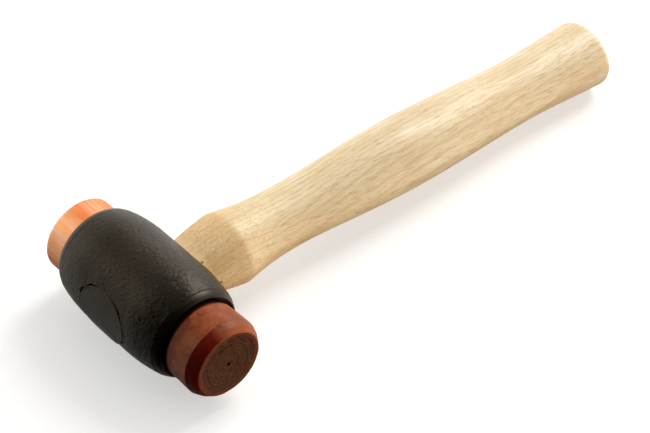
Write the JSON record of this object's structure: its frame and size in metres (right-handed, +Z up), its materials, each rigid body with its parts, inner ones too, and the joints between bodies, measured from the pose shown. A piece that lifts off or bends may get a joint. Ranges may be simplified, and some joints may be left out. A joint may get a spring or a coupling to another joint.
{
  "type": "soft-faced mallet",
  "caption": "Barrel-headed mallet with a copper striking plug at one end, a rolled rawhide plug at the other, and an oval hardwood handle.",
  "frame": {"origin": "on the ground under the middle of the bounding box, with the mallet lying on its side on the barrel and the butt", "axes": "+X along the head's axis from the copper face to the rawhide face, +Y along the handle from the head to the butt, +Z up"},
  "size_m": [0.11, 0.3048, 0.0517],
  "materials": {
    "head_paint": "satin black paint over a fine sand casting, with a smooth machined band at each end",
    "copper": "bare copper, drawn, with fine scratches along its length",
    "rawhide": "rolled hide under a red-brown lacquer, bare brown on the striking end",
    "handle_wood": "pale hardwood with lengthwise grain, clear varnish",
    "wedge_wood": "sawn hardwood, painted over at its end",
    "wedge_steel": "plain steel, painted over at its end"
  },
  "bodies": {
    "root": {"head_casting": "head_paint", "copper_face": "copper", "rawhide_face": "rawhide", "handle": "handle_wood", "wood_wedge": "wedge_wood", "steel_wedges": "wedge_steel"}
  },
  "joints": []
}
